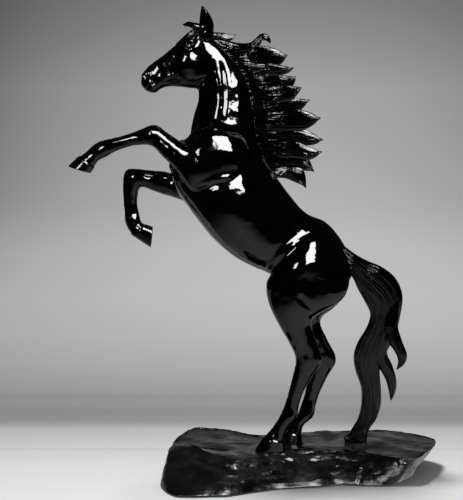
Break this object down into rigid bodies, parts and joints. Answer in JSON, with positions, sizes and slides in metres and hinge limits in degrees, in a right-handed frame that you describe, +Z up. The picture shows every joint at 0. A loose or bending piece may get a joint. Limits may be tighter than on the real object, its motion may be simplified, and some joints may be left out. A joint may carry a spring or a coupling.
{
  "type": "rearing horse sculpture",
  "caption": "Black lacquered cast horse rearing on its hind legs with a blown-back mane, its tail reaching down to a rough rock base.",
  "frame": {"origin": "middle of the rock base's flat underside, in the horse's middle plane", "axes": "+Z up, -X the way the horse faces, -Y the horse's left side"},
  "size_m": [0.4724, 0.2188, 0.5999],
  "materials": {
    "horse_lacquer": "high-gloss black lacquer over cast bronze",
    "rock_lacquer": "gloss black lacquer over a rough cast rock texture"
  },
  "bodies": {
    "root": {"horse": "horse_lacquer", "rock_base": "rock_lacquer"}
  },
  "joints": []
}
